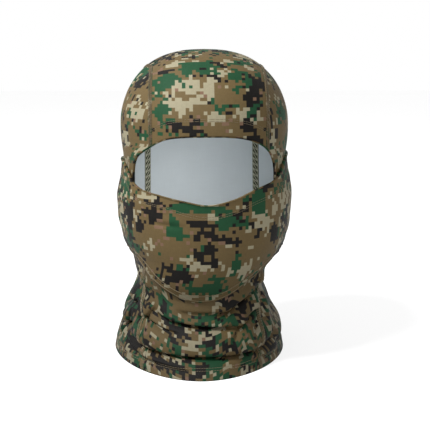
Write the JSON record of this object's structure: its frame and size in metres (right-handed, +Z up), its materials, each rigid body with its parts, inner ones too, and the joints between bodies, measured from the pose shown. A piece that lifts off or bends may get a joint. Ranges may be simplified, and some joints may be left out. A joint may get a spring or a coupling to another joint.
{
  "type": "pull-down face mask",
  "caption": "Stretch-knit full-head mask with an eye opening, a pull-down panel over nose and mouth, and a flared neck skirt, in a digital camouflage print.",
  "frame": {"origin": "centre of the footprint, in the plane that the bottom hem stands on", "axes": "+Z up to the crown, the face looks along -Y, +X is the wearer's left"},
  "size_m": [0.1684, 0.221, 0.2869],
  "materials": {
    "printed_cloth": "satin",
    "flatlock_thread": "matte",
    "hem_thread": "matte",
    "elastic_tape": "matte"
  },
  "bodies": {
    "hood": {"hood_centre_panel": "printed_cloth", "hood_left_panel": "printed_cloth", "hood_right_panel": "printed_cloth", "neck_front_panel": "printed_cloth", "eye_opening_hem": "printed_cloth", "bottom_hem": "printed_cloth", "left_crown_seam": "flatlock_thread", "right_crown_seam": "flatlock_thread", "left_neck_seam": "flatlock_thread", "right_neck_seam": "flatlock_thread", "left_face_seam": "flatlock_thread", "right_face_seam": "flatlock_thread", "chin_seam": "flatlock_thread", "eye_hem_stitching": "hem_thread", "bottom_hem_stitching": "hem_thread"},
    "face": {"face_panel": "printed_cloth", "face_hem": "printed_cloth", "face_hem_elastic": "elastic_tape", "face_hem_stitching": "hem_thread"}
  },
  "joints": [
    {"name": "face_pull_down", "type": "slide", "parent": "hood", "child": "face", "axis": [0, 0, -1], "range_m": [0, 0.058], "deforming": ["face_panel"]}
  ]
}
